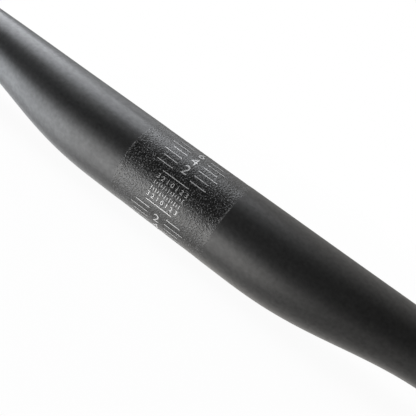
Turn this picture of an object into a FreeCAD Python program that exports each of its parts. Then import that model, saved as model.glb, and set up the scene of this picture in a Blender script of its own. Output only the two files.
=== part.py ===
import FreeCAD, Part
import math
import os

# A flat bicycle handlebar, drawn, butted and bent from one tube. A straight fat cylinder in the middle goes
# into the stem. On each side a tapered shoulder slims it down to the grip diameter, lifts it by the rise and
# bends it back towards the rider. The grips are straight, and both ends are cut square and open.
#
# The bar lies as it comes to rest on a table, on the underside of the clamp cylinder and on both tips.
# The origin is the centre of the clamp cylinder, X runs along its axis towards the rider's left hand,
# the bar's front faces -Y, and Z is up.

# Driving dimensions, in millimetres and degrees
BAR_WIDTH = 710.0  # across both tips, outside to outside
CLAMP_DIAMETER = 31.8  # the stem closes on this
CLAMP_LENGTH = 56.0  # straight cylinder in the middle
CLAMP_WALL = 2.4
GRIP_DIAMETER = 22.2  # grips and lever clamps slide over this
GRIP_WALL = 2.0
TAPER_LENGTH = 88.0  # along X, from the clamp cylinder to the full grip diameter
RISE = 5.0  # of the grips' centre lines above the clamp axis
SWEEP_ANGLE = 9.0  # of the grips, back towards the rider
BEND_OFFSET = 31.0  # along X, from the clamp cylinder to the start of the bend
BEND_RADIUS = 260.0  # of the centre line
END_CHAMFER = 0.4  # on the outer and the inner edge of each cut end

# Modelling values
SECTION_SPACING = 5.5  # between neighbouring sections of the lofted shoulder
CUT_OVERRUN = 5.0  # how far the bore's cutter runs past each end
SAME_PLANE = 1e-6

# Places along X on the right half of the drawing, which the other half mirrors
sweep = math.radians(SWEEP_ANGLE)
clamp_end = CLAMP_LENGTH / 2.0
taper_end = clamp_end + TAPER_LENGTH
bend_start = clamp_end + BEND_OFFSET
bend_end = bend_start + BEND_RADIUS * math.sin(sweep)
shoulder_end = max(taper_end, bend_end)
tip_x = BAR_WIDTH / 2.0 - GRIP_DIAMETER / 2.0 * math.sin(sweep)
grip_length = (tip_x - shoulder_end) / math.cos(sweep)


def eased(share):
    """Blend from 0 to 1 that leaves and arrives with no slope and no curvature."""
    share = min(max(share, 0.0), 1.0)
    return share**3 * (10.0 - 15.0 * share + 6.0 * share**2)


def eased_slope(share):
    """Slope of the blend."""
    share = min(max(share, 0.0), 1.0)
    return 30.0 * share**2 * (1.0 - share) ** 2


def taper_share(x):
    """How far along the taper x is, from 0 at the clamp cylinder to 1 at the grip."""
    return (x - clamp_end) / TAPER_LENGTH


def bend_angle(x):
    """Angle that the centre line has turned back by at x."""
    return math.asin((min(max(x, bend_start), bend_end) - bend_start) / BEND_RADIUS)


def setback(x):
    """How far the centre line has come back at x, along the bend's arc and then straight on."""
    on_arc = BEND_RADIUS * (1.0 - math.cos(bend_angle(x)))
    past_arc = max(x - bend_end, 0.0) * math.tan(sweep)
    return on_arc + past_arc


def centre(x):
    """Point of the centre line at x."""
    return FreeCAD.Vector(x, setback(x), RISE * eased(taper_share(x)))


def direction(x):
    """Direction of the centre line at x."""
    climb = RISE * eased_slope(taper_share(x)) / TAPER_LENGTH
    return FreeCAD.Vector(1.0, math.tan(bend_angle(x)), climb).normalize()


def between(clamp_radius, grip_radius, x):
    """Radius at x of a wall that goes from the clamp's radius to the grip's."""
    return clamp_radius + (grip_radius - clamp_radius) * eased(taper_share(x))


def section(x, radius):
    """Circle square to the centre line, with its seam underneath."""
    downwards = FreeCAD.Vector(0.0, 0.0, -1.0)
    sideways = FreeCAD.Vector(0.0, 1.0, 0.0)
    facing = FreeCAD.Rotation(downwards, sideways, direction(x), "ZXY")
    circle = Part.makeCircle(radius)
    circle.Placement = FreeCAD.Placement(centre(x), facing)
    return Part.Wire(circle)


def mirrored(shape):
    """The same shape on the other hand's side."""
    return shape.mirror(FreeCAD.Vector(), FreeCAD.Vector(1.0, 0.0, 0.0))


def rod(clamp_radius, grip_radius, overrun):
    """Solid bar along the whole centre line, running past each tip by the overrun."""
    clamp = Part.Face(section(-clamp_end, clamp_radius)).extrude(FreeCAD.Vector(CLAMP_LENGTH, 0.0, 0.0))
    steps = math.ceil((shoulder_end - clamp_end) / SECTION_SPACING)
    places = [clamp_end + (shoulder_end - clamp_end) * step / steps for step in range(steps + 1)]
    shoulder = Part.makeLoft([section(x, between(clamp_radius, grip_radius, x)) for x in places], True)
    grip_run = direction(shoulder_end) * (grip_length + overrun)
    grip = Part.Face(section(shoulder_end, grip_radius)).extrude(grip_run)
    return clamp.fuse([shoulder, grip, mirrored(shoulder), mirrored(grip)]).removeSplitter()


def chamfered(bar):
    """The bar with the edges of both cut ends broken."""
    tip = centre(tip_x)
    outward = direction(tip_x)
    end_edges = []
    for edge in bar.Edges:
        middle = edge.CenterOfMass
        on_one_side = FreeCAD.Vector(abs(middle.x), middle.y, middle.z)
        if abs((on_one_side - tip).dot(outward)) < SAME_PLANE:
            end_edges.append(edge)
    return bar.makeChamfer(END_CHAMFER, end_edges)


def rest_roll():
    """Angle about X that lets the tips down to the table that the clamp cylinder lies on."""
    tip = centre(tip_x)
    lower_by = (CLAMP_DIAMETER - GRIP_DIAMETER) / 2.0
    return math.atan2(tip.z, tip.y) + math.asin(lower_by / math.hypot(tip.y, tip.z))


def handlebar():
    """The whole bar, lying at rest."""
    clamp_radius = CLAMP_DIAMETER / 2.0
    grip_radius = GRIP_DIAMETER / 2.0
    outside = rod(clamp_radius, grip_radius, 0.0)
    inside = rod(clamp_radius - CLAMP_WALL, grip_radius - GRIP_WALL, CUT_OVERRUN)
    bar = chamfered(outside.cut(inside))
    bar.rotate(FreeCAD.Vector(), FreeCAD.Vector(1.0, 0.0, 0.0), -math.degrees(rest_roll()))
    return bar


os.makedirs("parts", exist_ok=True)
handlebar().exportStep("parts/handlebar.step")
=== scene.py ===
import bmesh
import bpy
import math
from mathutils import Matrix, Vector, noise


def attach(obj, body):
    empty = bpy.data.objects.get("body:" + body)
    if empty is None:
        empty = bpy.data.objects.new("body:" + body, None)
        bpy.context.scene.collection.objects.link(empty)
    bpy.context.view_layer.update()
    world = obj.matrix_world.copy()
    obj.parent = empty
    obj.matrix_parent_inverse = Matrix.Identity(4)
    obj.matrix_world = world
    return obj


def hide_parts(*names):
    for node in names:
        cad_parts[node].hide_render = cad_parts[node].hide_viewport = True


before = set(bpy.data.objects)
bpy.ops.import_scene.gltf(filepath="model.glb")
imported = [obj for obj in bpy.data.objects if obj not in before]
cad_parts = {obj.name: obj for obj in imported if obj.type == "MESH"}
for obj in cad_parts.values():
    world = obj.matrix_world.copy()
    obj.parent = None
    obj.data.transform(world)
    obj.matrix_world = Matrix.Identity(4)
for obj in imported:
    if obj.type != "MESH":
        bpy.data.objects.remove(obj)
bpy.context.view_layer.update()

# A flat bicycle handlebar: a satin black tube, a band of coarser grain at the stem clamp, and a printed
# scale on the band. Lengths are in millimetres and angles in degrees, unless a heading says otherwise.
MM = 0.001
UPWARDS = Vector((0.0, 0.0, 1.0))
WHITE = (1.0, 1.0, 1.0)

# The tube's driving dimensions
BAR_WIDTH = 710.0
CLAMP_DIAMETER = 31.8
CLAMP_LENGTH = 56.0
CLAMP_WALL = 2.4
GRIP_DIAMETER = 22.2
GRIP_WALL = 2.0
TAPER_LENGTH = 88.0
RISE = 5.0
SWEEP_ANGLE = 9.0
BEND_OFFSET = 31.0  # from the end of the clamp cylinder to the start of the bend
BEND_RADIUS = 260.0
END_CHAMFER = 0.4

# How finely the tube is meshed
TUBE_ROWS = 160  # around
SHOULDER_STEP = 1.5
GRIP_STEP = 12.0
CLAMP_STEP = 2.0
BORE_STEP = 4.0
SHARP_ANGLE = 25.0

# Numbers of the tube's materials, after 0 for its skin
CUT_END_MATERIAL = 1
BORE_MATERIAL = 2

# The band of coarse grain, which lies in a shallow groove of the tube
BAND_LENGTH = 41.0
BAND_GAP = 0.01
GROOVE_DEPTH = 0.3
BAND_ROWS = 460  # around
BAND_STEP = 0.215
BAND_SINK = 0.08  # depth of the grain's mean height under the tube's surface
CREST_DIP = 0.015  # least depth of the grain's crests under that surface
GRAIN_HEIGHT = 0.08
GRAIN_SIZE = 0.45
FINE_GRAIN_SIZE = 0.3
FINE_GRAIN_SHARE = 0.3
FINE_GRAIN_SHIFT = Vector((31.7, 8.3, 5.1))  # keeps the fine grain from following the coarse one
GRIT_SPACING = 0.52  # of the specks of grit between the grain
GRIT_RADIUS = 0.22
GRIT_HEIGHT = 0.04
GRIT_SPREAD = 7.3  # sets neighbouring specks apart in the noise that gives each its own height
GRIT_GAIN = 2.0
GRAIN_FADE = 0.9  # distance from the rims over which the grain sets in
SINK_FADE = 3.0  # distance from the rims over which the band sinks to its depth

# The smooth rim along each edge of the band, flush with the tube
RIM_WIDTH = 0.15
RIM_SPECK_SIZE = 0.5
RIM_HIGHLIGHT_ANGLE = 12.0  # round the clamp from its front upwards, where the rims carry their painted highlight
RIM_HIGHLIGHT_SPREAD = 34.0
RIM_SHARP_ANGLE = 60.0

# How pale the band is, from 0 to 1
GRAIN_PALENESS = 0.3  # at the grain's mean height
WAVE_PALENESS = 0.5  # added on the grain's crests, which are worn paler, and taken off in its pits as painted shade
GRIT_PALENESS = 0.4  # added on the specks of grit
RIM_PALENESS = 0.4
RIM_HIGHLIGHT_PALENESS = 0.2  # painted highlight added along the rims
RIM_HIGHLIGHT_SPECKLE = 0.45

# The printed scale, at angles round the clamp from its front upwards
LINE_WIDTH = 0.31
UPPER_LINE_ANGLE = 8.6
LOWER_LINE_ANGLE = -33.1
LINE_HALF_LENGTH = 5.6
LINE_SHIFT = -0.4  # of the long lines, along X
LOWER_SHIFT = 0.3  # of the ticks under the lower line, along X
TICK_STEP_ANGLE = 9.2
TICK_COUNT = 6
TICK_INNER = 3.7
LONG_TICK_OUTER = 11.4
SHORT_TICK_OUTER = 9.6
FIRST_TICK_OUTER = 10.4
SCALE_DIGIT_HEIGHT = 3.8
RULE_REACH = 6  # marks on each side of the middle one
RULE_MARK_STEP = 1.0
RULE_MARK_WIDTH = 0.22
LONG_MARK_HEIGHT = 1.5
SHORT_MARK_SHARE = 0.6
RULE_MARK_ANGLE = 4.3
RULE_DIGIT_ANGLE = 12.8
RULE_DIGIT_HEIGHT = 1.7
DIGIT_RESOLUTION = 4
PRINT_STEP = 0.25
PRINT_MERGE = 0.005  # points of a digit closer than this become one
PRINT_DIP = 0.003  # depth of the print's top under the tube's surface
PRINT_FILM = 0.1  # thickness of the print

# Part of its range that noise mostly keeps to
NOISE_LOW = 0.3
NOISE_HIGH = 0.7

# Satin black of the tube
SATIN_DARK = 0.010
SATIN_LIGHT = 0.019
SATIN_ROUGHNESS = (0.33, 0.39)
SATIN_SPECULAR = 0.43
CLOUD_SIZE = 6.0
CLOUD_STRETCH = (4.0, 1.0, 1.0)
MOTTLE_SIZE = 1.1
MOTTLE_HEIGHT = 0.012
LACQUER_SIZE = 1.6
LACQUER_WEIGHT = (0.0, 0.26)
LACQUER_ROUGHNESS = 0.36

# Gritty black of the band, where edges are the shares of a spacing between which a speck fades out
# Darkest shade, in the pits, is painted shade
PAINTED_PIT_SHADE = 0.002
CREST_SHADE = 0.007
SPECK_SHADE = 0.2
CREST_PALENESS = 0.4  # has the crests' shade
SMOOTH_PALENESS = 0.6  # has the lower roughness
GRAINED_ROUGHNESS = (0.34, 0.28)
GRAINED_SPECULAR = 0.55
# Painted glints: pale specks added to the band's colour
PAINTED_GLINT_SPACING = 0.75
PAINTED_GLINT_EDGE = (0.08, 0.26)
PAINTED_GLINT_PALENESS = 0.6  # added on the painted glints
PIMPLE_SPACING = 0.6
PIMPLE_EDGE = (0.1, 0.45)
PIMPLE_HEIGHT = 0.07

# Black of the cut ends
CUT_DARK = (0.045, 0.045, 0.046)
CUT_LIGHT = (0.075, 0.075, 0.077)
CUT_ROUGHNESS = (0.30, 0.42)
CUT_MARK_SIZE = 0.3
RING_PITCH = 0.25
RING_HEIGHT = 0.02
RING_BREAK_SIZE = 1.5
RING_BREAK = (0.3, 1.0)  # shares of the rings' height that are left

# Dull black of the bore
BORE_DARK = 0.010
BORE_LIGHT = 0.02
BORE_ROUGHNESS = (0.45, 0.6)
STREAK_SIZE = 0.8
STREAK_STRETCH = (40.0, 1.0, 1.0)
STREAK_HEIGHT = 0.01

# Pale silvery print
PRINT_DARK = 0.37
PRINT_LIGHT = 0.45
PRINT_ROUGHNESS = (0.40, 0.46)
PRINT_METALLIC = 0.3
PRINT_SPECULAR = 1.0
WEAR_SIZE = 0.4
WEAR_HEIGHT = 0.004

# The camera, about the bar as it sits level in its stem, with its square picture measured in pixels
FRAME_PIXELS = 416.0
FOCAL_PIXELS = 600.0
CAMERA_AZIMUTH = 12.7484
CAMERA_ELEVATION = 1.0303
CAMERA_ROLL = 36.1748
CAMERA_DISTANCE = 216.7235
MIDDLE_PIXEL_X = 183.1941
MIDDLE_PIXEL_Y = 192.7161
SENSOR_WIDTH = 36.0
NEAR_CLIP = 10.0

# The floor, in metres
FLOOR_HALF = 3.0
FLOOR_SHADE = 0.8
FLOOR_ROUGHNESS = 0.9
FLOOR_SHADOW = 0.045  # share of the floor's look that takes light and shadow
FLOOR_FADE = (0.1, 0.5)  # distances from the bar's middle over which the floor turns plain white

# The world's light, by the direction it comes from: X to the right, Y to the back, Z up, each from -1 to 1
CEILING_HORIZON = 0.42
CEILING_TOP = 0.76
FRONT_SHARE = 0.09  # of the ceiling's light, in front of the bar
FRONT_SPAN = (-0.5, 0.3)
TABLE_SPAN = (-0.45, -0.1)  # heights over which the light from below fades out
TABLE_FRONT = 0.5
TABLE_BACK = 1.05
TABLE_DEPTH_SPAN = (-0.3, 0.5)
TABLE_LEFT = 1.3
TABLE_RIGHT = 0.85
TABLE_SIDE_SPAN = (-0.55, 0.1)
GLOW_DIRECTION = (-0.66, -0.60, -0.46)
GLOW_STRENGTH = 5.2
GLOW_SPAN = (0.66, 0.95)  # closeness to its direction over which the glow rises
GLOW_EDGE = (-0.344, 0.006)  # heights over which the glow fades out on the left
GLOW_DROP = 0.17  # of those heights on the right
GLOW_DROP_SPAN = (-0.43, 0.1)
GLOW_UNDER = 0.7  # share of the glow that is left straight below
GLOW_UNDER_SPAN = (-0.92, -0.70)
COOL_LIGHT = (0.94, 0.98, 1.025)  # from the left
WARM_LIGHT = (1.0, 0.97, 0.93)  # from the right
TINT_SPAN = (-0.75, -0.15)

# The lamps, in metres
SOFTBOX_PLACE = (-0.42, 0.11, 0.445)
SOFTBOX_SIZE = (0.42, 0.70)
SOFTBOX_RADIANCE = 4.2
FILL_PLACE = (-0.26, 0.41, 0.36)
FILL_SIZE = (0.30, 0.22)
FILL_RADIANCE = 0.9
LAMP_COLOR = (0.93, 0.955, 1.0)
UPPER_CARD_PLACE = (-0.335, -0.235, 0.44)
UPPER_CARD_SIZE = (0.18, 0.18)
LOWER_CARD_PLACE = (-0.32, -0.51, 0.0)
LOWER_CARD_SIZE = (0.16, 0.14)
CARD_RADIANCE = 1.2

# Values that follow from the driving dimensions
sweep = math.radians(SWEEP_ANGLE)
clamp_radius = CLAMP_DIAMETER / 2.0
grip_radius = GRIP_DIAMETER / 2.0
clamp_end = CLAMP_LENGTH / 2.0
taper_end = clamp_end + TAPER_LENGTH
bend_start = clamp_end + BEND_OFFSET
bend_end = bend_start + BEND_RADIUS * math.sin(sweep)
shoulder_end = max(taper_end, bend_end)
tip_x = BAR_WIDTH / 2.0 - grip_radius * math.sin(sweep)
band_end = BAND_LENGTH / 2.0
band_edge = band_end - BAND_GAP
rim_start = band_edge - RIM_WIDTH


# The form of the bar


def eased(share):
    """Blend from 0 to 1 that leaves and arrives with no slope and no curvature."""
    share = min(max(share, 0.0), 1.0)
    return share**3 * (10.0 - 15.0 * share + 6.0 * share**2)


def eased_slope(share):
    """Slope of the blend."""
    share = min(max(share, 0.0), 1.0)
    return 30.0 * share**2 * (1.0 - share) ** 2


def taper_share(x):
    """How far along the taper x is, from 0 at the clamp cylinder to 1 at the grip, on either side."""
    return (abs(x) - clamp_end) / TAPER_LENGTH


def bend_angle(x):
    """Angle that the centre line has turned back by at x."""
    return math.asin((min(max(abs(x), bend_start), bend_end) - bend_start) / BEND_RADIUS)


def centre(x):
    """Point of the centre line at x, with the bar level in its stem."""
    on_arc = BEND_RADIUS * (1.0 - math.cos(bend_angle(x)))
    past_arc = max(abs(x) - bend_end, 0.0) * math.tan(sweep)
    return Vector((x, on_arc + past_arc, RISE * eased(taper_share(x))))


def direction(x):
    """Direction of the centre line at x, towards +X."""
    side = math.copysign(1.0, x)
    climb = RISE * eased_slope(taper_share(x)) / TAPER_LENGTH
    return Vector((1.0, side * math.tan(bend_angle(x)), side * climb)).normalized()


def between(at_clamp, at_grip, x):
    """A radius that goes from its value at the clamp to its value at the grip."""
    return at_clamp + (at_grip - at_clamp) * eased(taper_share(x))


def rest_roll():
    """Angle about X that lets the tips down to the table that the clamp cylinder lies on."""
    tip = centre(tip_x)
    lower_by = clamp_radius - grip_radius
    return math.atan2(tip.z, tip.y) + math.asin(lower_by / math.hypot(tip.y, tip.z))


AT_REST = Matrix.Rotation(-rest_roll(), 3, "X")


def skin_point(x, radius, angle, shift=0.0):
    """Point at an angle round the bar from its front upwards, shifted along the centre line."""
    along = direction(x)
    upwards = (UPWARDS - along * along.z).normalized()
    forwards = along.cross(upwards)
    outwards = forwards * math.cos(angle) + upwards * math.sin(angle)
    return centre(x) + along * shift + outwards * radius


def angles_round(rows):
    """Evenly spaced angles round the bar."""
    return [2.0 * math.pi * row / rows for row in range(rows)]


def ring(x, radius, rows, shift=0.0):
    """Ring of points round the bar."""
    return [skin_point(x, radius, angle, shift) for angle in angles_round(rows)]


def steps(start, end, spacing):
    """Evenly spaced places from start up to, but without, end."""
    count = math.ceil(abs(end - start) / spacing)
    return [start + (end - start) * step / count for step in range(count)]


def both_ways(half):
    """Places from the middle to the +X side, with the mirrored ones of the other side before them."""
    return [-place for place in reversed(half[1:])] + half


def closed_shell(rings):
    """Faces of a closed shell through rings of equal size, the last one joined to the first."""
    rows = len(rings[0])
    faces = []
    for column in range(len(rings)):
        here = column * rows
        there = (column + 1) % len(rings) * rows
        for row in range(rows):
            above = (row + 1) % rows
            faces.append((here + row, there + row, there + above, here + above))
    return faces


def make_piece(name, points, faces, materials):
    """Smooth-shaded mesh object at rest, riding on the bar."""
    mesh = bpy.data.meshes.new(name)
    mesh.from_pydata([AT_REST @ point * MM for point in points], [], faces)
    for material in materials:
        mesh.materials.append(material)
    mesh.shade_smooth()
    piece = bpy.data.objects.new(name, mesh)
    bpy.context.collection.objects.link(piece)
    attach(piece, "root")
    return piece


def face_outwards(mesh):
    """Turn the faces of a closed shell so that they all look out of it."""
    shell = bmesh.new()
    shell.from_mesh(mesh)
    bmesh.ops.recalc_face_normals(shell, faces=shell.faces)
    shell.to_mesh(mesh)
    shell.free()


def keep_values(mesh, name, values):
    """Keep a value for each point of a mesh, for its material to read."""
    attribute = mesh.attributes.new(name, "FLOAT", "POINT")
    attribute.data.foreach_set("value", values)


# The tube


def chamfer_rings(side, wall_radius, face_radius):
    """Rings of the chamfer at a tip: where it leaves the wall, and where it meets the cut face."""
    on_wall = ring(side * tip_x, wall_radius, TUBE_ROWS, -side * END_CHAMFER)
    on_face = ring(side * tip_x, face_radius, TUBE_ROWS)
    return [on_wall, on_face]


def outside_rings():
    """Rings of the tube's outer skin from the -X tip to the +X one, with the groove for the band."""
    groove_radius = clamp_radius - GROOVE_DEPTH
    half = [(place, groove_radius) for place in steps(0.0, band_end, CLAMP_STEP)]
    half.append((band_end, groove_radius))
    half += [(place, clamp_radius) for place in steps(band_end, clamp_end, CLAMP_STEP)]
    for place in steps(clamp_end, shoulder_end, SHOULDER_STEP) + steps(shoulder_end, tip_x, GRIP_STEP):
        half.append((place, between(clamp_radius, grip_radius, place)))
    whole = [(-place, radius) for place, radius in reversed(half[1:])] + half
    rings = [ring(place, radius, TUBE_ROWS) for place, radius in whole]
    first = chamfer_rings(-1.0, grip_radius, grip_radius - END_CHAMFER)
    last = chamfer_rings(1.0, grip_radius, grip_radius - END_CHAMFER)
    return first[::-1] + rings + last


def bore_rings():
    """Rings of the bore from the +X tip back to the -X one."""
    clamp_bore = clamp_radius - CLAMP_WALL
    grip_bore = grip_radius - GRIP_WALL
    half = [0.0] + steps(clamp_end, shoulder_end, BORE_STEP) + steps(shoulder_end, tip_x, GRIP_STEP)
    backwards = reversed(both_ways(half))
    rings = [ring(place, between(clamp_bore, grip_bore, place), TUBE_ROWS) for place in backwards]
    first = chamfer_rings(1.0, grip_bore, grip_bore + END_CHAMFER)
    last = chamfer_rings(-1.0, grip_bore, grip_bore + END_CHAMFER)
    return first[::-1] + rings + last


def ring_radii(one_ring):
    """Distance of each point of a ring from the ring's middle."""
    middle = sum(one_ring, Vector()) / len(one_ring)
    return [(point - middle).length for point in one_ring]


def make_tube(materials):
    """The whole tube as one closed shell, with its own materials on the skin, the cut ends and the bore."""
    outside = outside_rings()
    rings = outside + bore_rings()
    points = [point for one_ring in rings for point in one_ring]
    piece = make_piece("bar_tube", points, closed_shell(rings), materials)
    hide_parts("handlebar")
    bore_start = len(outside)
    shell_end = len(rings)
    cut_ends = (0, bore_start - 2, bore_start - 1, bore_start, shell_end - 2, shell_end - 1)
    for number, face in enumerate(piece.data.polygons):
        column = number // TUBE_ROWS
        if column in cut_ends:
            face.material_index = CUT_END_MATERIAL
        elif column > bore_start:
            face.material_index = BORE_MATERIAL
    face_outwards(piece.data)
    piece.data.set_sharp_from_angle(angle=math.radians(SHARP_ANGLE))
    keep_values(piece.data, "from_axis", [radius for one_ring in rings for radius in ring_radii(one_ring)])


# The band of coarse grain


def grain(point):
    """Height of the coarse grain at a point of the band, about -1 to 1."""
    coarse = noise.noise(point / GRAIN_SIZE)
    fine = noise.noise(point / FINE_GRAIN_SIZE + FINE_GRAIN_SHIFT)
    return coarse * (1.0 - FINE_GRAIN_SHARE) + fine * FINE_GRAIN_SHARE


def grit(point):
    """Height of the specks of grit at a point of the band, about 0 to 1."""
    distances, centres = noise.voronoi(point / GRIT_SPACING)
    share = distances[0] * GRIT_SPACING / GRIT_RADIUS
    top = abs(noise.noise(centres[0] * GRIT_SPREAD)) * GRIT_GAIN
    return max(0.0, 1.0 - share**2) * top


def set_in(x, distance):
    """Share from 0 on the rims along the band's edges to 1 at a distance from them."""
    return eased((rim_start - abs(x)) / distance)


def rim_paleness(point, angle):
    """How pale a rim is at a point of it: a speckled painted highlight in a spread of angles round the
    clamp, and dark like the tube elsewhere.
    """
    # Painted highlight on the rims: strongest at one angle round the clamp and fading out to either side,
    # speckled along its length
    from_highlight = abs((math.degrees(angle) - RIM_HIGHLIGHT_ANGLE + 180.0) % 360.0 - 180.0)
    worn = eased(1.0 - from_highlight / RIM_HIGHLIGHT_SPREAD)
    return RIM_PALENESS + (RIM_HIGHLIGHT_PALENESS + RIM_HIGHLIGHT_SPECKLE * noise.noise(point / RIM_SPECK_SIZE)) * worn


def band_point(x, angle):
    """Radius of the band's skin and how pale it is, at x and an angle round it."""
    point = skin_point(x, clamp_radius, angle)
    share = set_in(x, GRAIN_FADE)
    waves = grain(point)
    specks = grit(point)
    height = (GRAIN_HEIGHT * waves + GRIT_HEIGHT * specks) * share - BAND_SINK * set_in(x, SINK_FADE)
    # The pits come out darker than the crests: painted shade in the grain's hollows
    paleness = min(max(GRAIN_PALENESS + WAVE_PALENESS * waves + GRIT_PALENESS * specks, 0.0), 1.0)
    rim = rim_paleness(point, angle)
    return clamp_radius + min(height, -CREST_DIP * share), rim + (paleness - rim) * share


def make_band(materials):
    """The grained band as a closed sleeve with its foot in the tube's groove."""
    columns = both_ways(steps(0.0, rim_start, BAND_STEP) + [rim_start, band_edge])
    angles = angles_round(BAND_ROWS)
    foot = clamp_radius - GROOVE_DEPTH - BAND_GAP
    foot_paleness = [0.0] * BAND_ROWS
    rings = [ring(columns[0], foot, BAND_ROWS)]
    paleness = foot_paleness.copy()
    for x in columns:
        skin = [band_point(x, angle) for angle in angles]
        rings.append([skin_point(x, radius, angle) for (radius, pale), angle in zip(skin, angles)])
        paleness += [pale for radius, pale in skin]
    rings.append(ring(columns[-1], foot, BAND_ROWS))
    paleness += foot_paleness
    points = [point for one_ring in rings for point in one_ring]
    piece = make_piece("clamp_band", points, closed_shell(rings), materials)
    face_outwards(piece.data)
    piece.data.set_sharp_from_angle(angle=math.radians(RIM_SHARP_ANGLE))
    keep_values(piece.data, "paleness", paleness)


# The printed scale


def printed_point(x, angle):
    """Point of the print's top face, just under the tube's surface and clear of the grain's crests."""
    return skin_point(x, clamp_radius - PRINT_DIP, angle)


def patch_print(points, faces, left, right, angle, height):
    """Add a printed rectangle on the band, with its middle at an angle."""
    columns = math.ceil((right - left) / PRINT_STEP)
    rows = max(2, math.ceil(height / PRINT_STEP))
    first = len(points)
    for column in range(columns + 1):
        x = left + (right - left) * column / columns
        for row in range(rows + 1):
            points.append(printed_point(x, math.radians(angle) + (row / rows - 0.5) * height / clamp_radius))
    for column in range(columns):
        for row in range(rows):
            corner = first + column * (rows + 1) + row
            faces.append((corner, corner + rows + 1, corner + rows + 2, corner + 1))


def cut_up(shape, height):
    """Cut a flat shape finely enough both ways to be wrapped round the bar."""
    reach = math.ceil(height / PRINT_STEP)
    for axis in (Vector((1.0, 0.0, 0.0)), Vector((0.0, 1.0, 0.0))):
        for cut in range(-reach, reach + 1):
            everything = shape.verts[:] + shape.edges[:] + shape.faces[:]
            bmesh.ops.bisect_plane(shape, geom=everything, plane_co=axis * cut * PRINT_STEP, plane_no=axis)
    bmesh.ops.remove_doubles(shape, verts=shape.verts[:], dist=PRINT_MERGE)
    bmesh.ops.dissolve_degenerate(shape, dist=PRINT_MERGE, edges=shape.edges[:])
    shape.verts.index_update()


def flat_digits(digits, height):
    """Points and faces of plain digits, flat and about the origin."""
    curve = bpy.data.curves.new("digits", "FONT")
    curve.body = digits
    curve.resolution_u = DIGIT_RESOLUTION
    holder = bpy.data.objects.new("digits", curve)
    mesh = bpy.data.meshes.new_from_object(holder)
    bpy.data.objects.remove(holder)
    lows = [min(vertex.co[axis] for vertex in mesh.vertices) for axis in range(2)]
    highs = [max(vertex.co[axis] for vertex in mesh.vertices) for axis in range(2)]
    scale = height / (highs[1] - lows[1])
    middle = Vector((lows[0] + highs[0], lows[1] + highs[1], 0.0)) / 2.0
    shape = bmesh.new()
    shape.from_mesh(mesh)
    for vertex in shape.verts:
        vertex.co = (vertex.co - middle) * scale
    cut_up(shape, height)
    flat = [vertex.co.copy() for vertex in shape.verts]
    corners = [[vertex.index for vertex in face.verts] for face in shape.faces]
    shape.free()
    bpy.data.meshes.remove(mesh)
    return flat, corners


def digit_print(points, faces, digits, x, angle, height):
    """Add printed digits on the band."""
    flat, corners = flat_digits(digits, height)
    first = len(points)
    for place in flat:
        points.append(printed_point(x + place.x, math.radians(angle) + place.y / clamp_radius))
    faces.extend([[first + corner for corner in face] for face in corners])


def tick_outer(number, is_upper):
    """Outer end of a tick: above, the odd ticks are long apart from the first, and below, the even ones."""
    if is_upper and number == 1:
        return FIRST_TICK_OUTER
    return LONG_TICK_OUTER if (number % 2 == 1) == is_upper else SHORT_TICK_OUTER


def half_scale(points, faces, line_angle, is_upper):
    """Add one long line, and the numbered ticks that run up or down the band from it."""
    line_left = LINE_SHIFT - LINE_HALF_LENGTH
    line_right = LINE_SHIFT + LINE_HALF_LENGTH
    patch_print(points, faces, line_left, line_right, line_angle, LINE_WIDTH)
    way = 1.0 if is_upper else -1.0
    shift = 0.0 if is_upper else LOWER_SHIFT
    for number in range(1, TICK_COUNT + 1):
        angle = line_angle + way * TICK_STEP_ANGLE * number
        outer = tick_outer(number, is_upper)
        patch_print(points, faces, shift + TICK_INNER, shift + outer, angle, LINE_WIDTH)
        patch_print(points, faces, shift - outer, shift - TICK_INNER, angle, LINE_WIDTH)
        if number % 2 == 0:
            digit_print(points, faces, str(number), shift, angle, SCALE_DIGIT_HEIGHT)


def centre_rule(points, faces):
    """Add two rows of marks, the long ones numbered, that show the bar's middle between the long lines."""
    middle_angle = (UPPER_LINE_ANGLE + LOWER_LINE_ANGLE) / 2.0
    half_width = RULE_MARK_WIDTH / 2.0
    for way in (1.0, -1.0):
        mark_angle = middle_angle + way * RULE_MARK_ANGLE
        digit_angle = middle_angle + way * RULE_DIGIT_ANGLE
        for mark in range(-RULE_REACH, RULE_REACH + 1):
            is_long = mark % 2 == 0
            x = mark * RULE_MARK_STEP
            height = LONG_MARK_HEIGHT if is_long else LONG_MARK_HEIGHT * SHORT_MARK_SHARE
            patch_print(points, faces, x - half_width, x + half_width, mark_angle, height)
            if is_long:
                digit_print(points, faces, str(abs(mark) // 2), x, digit_angle, RULE_DIGIT_HEIGHT)


def make_print(materials):
    """The printed scale as one thin film."""
    points = []
    faces = []
    half_scale(points, faces, UPPER_LINE_ANGLE, True)
    half_scale(points, faces, LOWER_LINE_ANGLE, False)
    centre_rule(points, faces)
    piece = make_piece("scale_print", points, faces, materials)
    piece.data.shade_flat()
    film = piece.modifiers.new("film", "SOLIDIFY")
    film.thickness = PRINT_FILM * MM
    film.offset = -1.0


# What the materials are made of


def new_material(name):
    """Material with its principled shader and its node tree."""
    material = bpy.data.materials.new(name)
    material.use_nodes = True
    return material, material.node_tree.nodes["Principled BSDF"], material.node_tree


def grey(shade):
    """Neutral colour of a shade."""
    return shade, shade, shade


def noise_node(tree, size, detail=2.0, stretch=(1.0, 1.0, 1.0)):
    """Noise over the object, of a grain size in millimetres, stretched along the axes."""
    place = tree.nodes.new("ShaderNodeTexCoord")
    mapping = tree.nodes.new("ShaderNodeMapping")
    mapping.inputs["Scale"].default_value = [1.0 / value for value in stretch]
    texture = tree.nodes.new("ShaderNodeTexNoise")
    texture.inputs["Scale"].default_value = 1.0 / (size * MM)
    texture.inputs["Detail"].default_value = detail
    tree.links.new(place.outputs["Object"], mapping.inputs["Vector"])
    tree.links.new(mapping.outputs["Vector"], texture.inputs["Vector"])
    return texture.outputs["Fac"]


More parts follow.
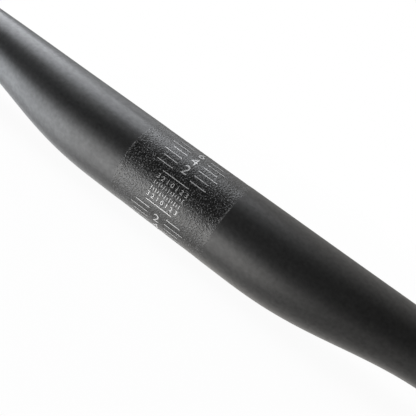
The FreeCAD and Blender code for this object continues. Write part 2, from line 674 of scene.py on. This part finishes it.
def ranged(tree, value, low, high, start=NOISE_LOW, end=NOISE_HIGH):
    """Value mapped from start..end to low..high."""
    node = tree.nodes.new("ShaderNodeMapRange")
    node.inputs["From Min"].default_value = start
    node.inputs["From Max"].default_value = end
    node.inputs["To Min"].default_value = low
    node.inputs["To Max"].default_value = high
    tree.links.new(value, node.inputs["Value"])
    return node.outputs["Result"]


def joined(tree, operation, first, second):
    """Two values joined by a sum, a product or another operation."""
    node = tree.nodes.new("ShaderNodeMath")
    node.operation = operation
    tree.links.new(first, node.inputs[0])
    tree.links.new(second, node.inputs[1])
    return node.outputs["Value"]


def tinted(tree, value, dark, light):
    """Colour between two, by a value in the range that noise mostly keeps to."""
    ramp = tree.nodes.new("ShaderNodeValToRGB")
    ramp.color_ramp.elements[0].position = NOISE_LOW
    ramp.color_ramp.elements[0].color = (*dark, 1.0)
    ramp.color_ramp.elements[1].position = NOISE_HIGH
    ramp.color_ramp.elements[1].color = (*light, 1.0)
    tree.links.new(value, ramp.inputs["Fac"])
    return ramp.outputs["Color"]


def kept_value(tree, name):
    """Value that a mesh keeps for each of its points."""
    node = tree.nodes.new("ShaderNodeAttribute")
    node.attribute_name = name
    return node.outputs["Fac"]


def speck_node(tree, spacing, edge):
    """Rounded specks at random places, from 1 on their tops to 0 past their edges."""
    place = tree.nodes.new("ShaderNodeTexCoord")
    cells = tree.nodes.new("ShaderNodeTexVoronoi")
    cells.inputs["Scale"].default_value = 1.0 / (spacing * MM)
    tree.links.new(place.outputs["Object"], cells.inputs["Vector"])
    specks = ranged(tree, cells.outputs["Distance"], 1.0, 0.0, *edge)
    specks.node.interpolation_type = "SMOOTHSTEP"
    return specks


def bumped(tree, shader, value, height, strength):
    """Bump of the shader's normal, with its height in millimetres."""
    bump = tree.nodes.new("ShaderNodeBump")
    bump.inputs["Strength"].default_value = strength
    bump.inputs["Distance"].default_value = height * MM
    tree.links.new(value, bump.inputs["Height"])
    tree.links.new(bump.outputs["Normal"], shader.inputs["Normal"])


# The materials


def satin_black():
    """Satin black of the tube: faint clouds drawn out along the bar, fine mottling and an uneven lacquer."""
    material, shader, tree = new_material("satin_black")
    shader.inputs["Specular IOR Level"].default_value = SATIN_SPECULAR
    shader.inputs["Coat Roughness"].default_value = LACQUER_ROUGHNESS
    clouds = noise_node(tree, CLOUD_SIZE, detail=3.0, stretch=CLOUD_STRETCH)
    mottling = noise_node(tree, MOTTLE_SIZE, detail=4.0)
    lacquer = noise_node(tree, LACQUER_SIZE)
    color = tinted(tree, mottling, grey(SATIN_DARK), grey(SATIN_LIGHT))
    tree.links.new(color, shader.inputs["Base Color"])
    tree.links.new(ranged(tree, clouds, *SATIN_ROUGHNESS), shader.inputs["Roughness"])
    tree.links.new(ranged(tree, lacquer, *LACQUER_WEIGHT), shader.inputs["Coat Weight"])
    bumped(tree, shader, mottling, MOTTLE_HEIGHT, strength=0.5)
    return material


def grained_black():
    """Gritty black of the band, with painted shade in the pits, paler grit, painted glints, and rims that
    carry a painted highlight.
    """
    material, shader, tree = new_material("grained_black")
    shader.inputs["Specular IOR Level"].default_value = GRAINED_SPECULAR
    paleness = kept_value(tree, "paleness")
    # Painted glints: pale specks added to the band's colour
    painted_glints = speck_node(tree, PAINTED_GLINT_SPACING, PAINTED_GLINT_EDGE)
    added = ranged(tree, painted_glints, 0.0, PAINTED_GLINT_PALENESS, 0.0, 1.0)
    ramp = tree.nodes.new("ShaderNodeValToRGB")
    # The pits take the darkest shade, which is painted shade; grit and painted glints reach the palest
    ramp.color_ramp.elements[0].color = (*grey(PAINTED_PIT_SHADE), 1.0)
    ramp.color_ramp.elements[1].color = (*grey(SPECK_SHADE), 1.0)
    crests = ramp.color_ramp.elements.new(CREST_PALENESS)
    crests.color = (*grey(CREST_SHADE), 1.0)
    tree.links.new(joined(tree, "ADD", paleness, added), ramp.inputs["Fac"])
    tree.links.new(ramp.outputs["Color"], shader.inputs["Base Color"])
    roughness = ranged(tree, paleness, *GRAINED_ROUGHNESS, 0.0, SMOOTH_PALENESS)
    tree.links.new(roughness, shader.inputs["Roughness"])
    pimples = speck_node(tree, PIMPLE_SPACING, PIMPLE_EDGE)
    bumped(tree, shader, pimples, PIMPLE_HEIGHT, strength=1.0)
    return material


def turned_rings(tree):
    """Rings that a cutting tool leaves round the bar's axis, from 0 to 1, broken up by noise."""
    half_pitch = RING_PITCH / 2.0
    rings = tree.nodes.new("ShaderNodeMath")
    rings.operation = "PINGPONG"
    rings.inputs[1].default_value = half_pitch
    tree.links.new(kept_value(tree, "from_axis"), rings.inputs[0])
    whole = ranged(tree, rings.outputs["Value"], 0.0, 1.0, 0.0, half_pitch)
    left = ranged(tree, noise_node(tree, RING_BREAK_SIZE, detail=3.0), *RING_BREAK)
    return joined(tree, "MULTIPLY", whole, left)


def cut_metal():
    """Black cut ends with fine rings from the cutting tool."""
    material, shader, tree = new_material("cut_end")
    marks = noise_node(tree, CUT_MARK_SIZE)
    tree.links.new(tinted(tree, marks, CUT_DARK, CUT_LIGHT), shader.inputs["Base Color"])
    tree.links.new(ranged(tree, marks, *CUT_ROUGHNESS), shader.inputs["Roughness"])
    bumped(tree, shader, turned_rings(tree), RING_HEIGHT, strength=0.6)
    return material


def drawn_bore():
    """Dull black bore with streaks from drawing the tube."""
    material, shader, tree = new_material("drawn_bore")
    streaks = noise_node(tree, STREAK_SIZE, detail=3.0, stretch=STREAK_STRETCH)
    color = tinted(tree, streaks, grey(BORE_DARK), grey(BORE_LIGHT))
    tree.links.new(color, shader.inputs["Base Color"])
    tree.links.new(ranged(tree, streaks, *BORE_ROUGHNESS), shader.inputs["Roughness"])
    bumped(tree, shader, streaks, STREAK_HEIGHT, strength=0.4)
    return material


def print_white():
    """Pale silvery screen print, a little worn."""
    material, shader, tree = new_material("print_white")
    shader.inputs["Metallic"].default_value = PRINT_METALLIC
    shader.inputs["Specular IOR Level"].default_value = PRINT_SPECULAR
    wear = noise_node(tree, WEAR_SIZE)
    color = tinted(tree, wear, grey(PRINT_DARK), grey(PRINT_LIGHT))
    tree.links.new(color, shader.inputs["Base Color"])
    tree.links.new(ranged(tree, wear, *PRINT_ROUGHNESS), shader.inputs["Roughness"])
    bumped(tree, shader, wear, WEAR_HEIGHT, strength=0.3)
    return material


def light_table():
    """Plain white of the floor, which takes a faint shadow close to the bar."""
    material, shader, tree = new_material("floor")
    shader.inputs["Base Color"].default_value = (*grey(FLOOR_SHADE), 1.0)
    shader.inputs["Roughness"].default_value = FLOOR_ROUGHNESS
    place = tree.nodes.new("ShaderNodeNewGeometry")
    distance = tree.nodes.new("ShaderNodeVectorMath")
    distance.operation = "LENGTH"
    tree.links.new(place.outputs["Position"], distance.inputs[0])
    white = ranged(tree, distance.outputs["Value"], 1.0 - FLOOR_SHADOW, 1.0, *FLOOR_FADE)
    glow = tree.nodes.new("ShaderNodeEmission")
    mix = tree.nodes.new("ShaderNodeMixShader")
    tree.links.new(white, mix.inputs["Fac"])
    tree.links.new(shader.outputs["BSDF"], mix.inputs[1])
    tree.links.new(glow.outputs["Emission"], mix.inputs[2])
    tree.links.new(mix.outputs["Shader"], tree.nodes["Material Output"].inputs["Surface"])
    return material


# The stage


def make_floor():
    """Pale light table that the bar lies on. The world lights the bar through it."""
    height = -clamp_radius * MM
    corners = ((-1, -1), (1, -1), (1, 1), (-1, 1))
    mesh = bpy.data.meshes.new("floor")
    mesh.from_pydata([(x * FLOOR_HALF, y * FLOOR_HALF, height) for x, y in corners], [], [(0, 1, 2, 3)])
    mesh.materials.append(light_table())
    floor = bpy.data.objects.new("floor", mesh)
    bpy.context.collection.objects.link(floor)
    floor.visible_diffuse = False
    floor.visible_glossy = False
    floor.visible_shadow = False


def ceiling_light(tree, axes):
    """Light from above, brightest overhead and dim in front of the bar."""
    above = ranged(tree, axes.outputs["Z"], CEILING_HORIZON, CEILING_TOP, 0.0, 1.0)
    depth = ranged(tree, axes.outputs["Y"], FRONT_SHARE, 1.0, *FRONT_SPAN)
    return joined(tree, "MULTIPLY", above, depth)


def table_light(tree, axes):
    """Light from below, brightest at the back and on the left."""
    under = ranged(tree, axes.outputs["Z"], 1.0, 0.0, *TABLE_SPAN)
    depth = ranged(tree, axes.outputs["Y"], TABLE_FRONT, TABLE_BACK, *TABLE_DEPTH_SPAN)
    side = ranged(tree, axes.outputs["X"], TABLE_LEFT, TABLE_RIGHT, *TABLE_SIDE_SPAN)
    return joined(tree, "MULTIPLY", joined(tree, "MULTIPLY", under, depth), side)


def low_glow(tree, axes, place):
    """Glow from low on the left in front of the bar, with an upper edge that drops to the right."""
    towards = tree.nodes.new("ShaderNodeVectorMath")
    towards.operation = "DOT_PRODUCT"
    towards.inputs[1].default_value = Vector(GLOW_DIRECTION).normalized()
    tree.links.new(place, towards.inputs[0])
    patch = ranged(tree, towards.outputs["Value"], 0.0, GLOW_STRENGTH, *GLOW_SPAN)
    drop = ranged(tree, axes.outputs["X"], 0.0, GLOW_DROP, *GLOW_DROP_SPAN)
    edge = ranged(tree, joined(tree, "ADD", axes.outputs["Z"], drop), 1.0, 0.0, *GLOW_EDGE)
    under = ranged(tree, axes.outputs["Z"], GLOW_UNDER, 1.0, *GLOW_UNDER_SPAN)
    return joined(tree, "MULTIPLY", joined(tree, "MULTIPLY", patch, edge), under)


def make_world():
    """Studio that lights the bar from above, from below and with a low glow. The camera sees it as white."""
    world = bpy.data.worlds.new("studio")
    world.use_nodes = True
    tree = world.node_tree
    place = tree.nodes.new("ShaderNodeTexCoord").outputs["Generated"]
    axes = tree.nodes.new("ShaderNodeSeparateXYZ")
    tree.links.new(place, axes.inputs["Vector"])
    room = joined(tree, "MAXIMUM", ceiling_light(tree, axes), table_light(tree, axes))
    glow = low_glow(tree, axes, place)
    sideways = ranged(tree, axes.outputs["X"], NOISE_LOW, NOISE_HIGH, *TINT_SPAN)
    lit = tree.nodes["Background"]
    tree.links.new(joined(tree, "ADD", room, glow), lit.inputs["Strength"])
    tree.links.new(tinted(tree, sideways, COOL_LIGHT, WARM_LIGHT), lit.inputs["Color"])
    seen = tree.nodes.new("ShaderNodeBackground")
    seen.inputs["Color"].default_value = (*WHITE, 1.0)
    path = tree.nodes.new("ShaderNodeLightPath")
    mix = tree.nodes.new("ShaderNodeMixShader")
    tree.links.new(path.outputs["Is Camera Ray"], mix.inputs["Fac"])
    tree.links.new(lit.outputs["Background"], mix.inputs[1])
    tree.links.new(seen.outputs["Background"], mix.inputs[2])
    tree.links.new(mix.outputs["Shader"], tree.nodes["World Output"].inputs["Surface"])
    bpy.context.scene.world = world


def make_lamp(name, place, size, radiance, color):
    """Area lamp that looks at the middle of the bar, and that the camera doesn't see."""
    data = bpy.data.lights.new(name, "AREA")
    data.shape = "RECTANGLE"
    data.size = size[0]
    data.size_y = size[1]
    data.energy = radiance * math.pi * size[0] * size[1]
    data.color = color
    lamp = bpy.data.objects.new(name, data)
    bpy.context.collection.objects.link(lamp)
    lamp.location = place
    lamp.rotation_euler = (Vector() - Vector(place)).to_track_quat("-Z", "Y").to_euler()
    lamp.visible_camera = False


def make_lights():
    """A softbox up on the left, a dimmer fill panel behind it, and two small cards in front on the left."""
    make_lamp("softbox", SOFTBOX_PLACE, SOFTBOX_SIZE, SOFTBOX_RADIANCE, LAMP_COLOR)
    make_lamp("fill", FILL_PLACE, FILL_SIZE, FILL_RADIANCE, LAMP_COLOR)
    make_lamp("upper_card", UPPER_CARD_PLACE, UPPER_CARD_SIZE, CARD_RADIANCE, WHITE)
    make_lamp("lower_card", LOWER_CARD_PLACE, LOWER_CARD_SIZE, CARD_RADIANCE, WHITE)


def camera_axes():
    """Directions to the right and upwards in the camera's picture, and from the bar back to the camera."""
    azimuth = math.radians(CAMERA_AZIMUTH)
    elevation = math.radians(CAMERA_ELEVATION)
    roll = math.radians(CAMERA_ROLL)
    level = math.cos(elevation)
    back = Vector((math.sin(azimuth) * level, -math.cos(azimuth) * level, math.sin(elevation)))
    level_right = (-back).cross(UPWARDS).normalized()
    level_up = level_right.cross(-back)
    right = level_right * math.cos(roll) + level_up * math.sin(roll)
    up = level_up * math.cos(roll) - level_right * math.sin(roll)
    return right, up, back


def make_camera():
    """Camera that sees the bar as the photograph does."""
    right, up, back = camera_axes()
    pixel = CAMERA_DISTANCE / FOCAL_PIXELS
    aside = (MIDDLE_PIXEL_X - FRAME_PIXELS / 2.0) * pixel
    above = (FRAME_PIXELS / 2.0 - MIDDLE_PIXEL_Y) * pixel
    location = back * CAMERA_DISTANCE - right * aside - up * above
    turn = Matrix((AT_REST @ right, AT_REST @ up, AT_REST @ back)).transposed()
    data = bpy.data.cameras.new("camera")
    data.sensor_width = SENSOR_WIDTH
    data.lens = SENSOR_WIDTH * FOCAL_PIXELS / FRAME_PIXELS
    data.clip_start = NEAR_CLIP * MM
    camera = bpy.data.objects.new("camera", data)
    bpy.context.collection.objects.link(camera)
    camera.matrix_world = Matrix.Translation(AT_REST @ location * MM) @ turn.to_4x4()
    bpy.context.scene.camera = camera


make_tube([satin_black(), cut_metal(), drawn_bore()])
make_band([grained_black()])
make_print([print_white()])
make_floor()
make_world()
make_lights()
make_camera()
bpy.context.scene.view_settings.view_transform = "Standard"
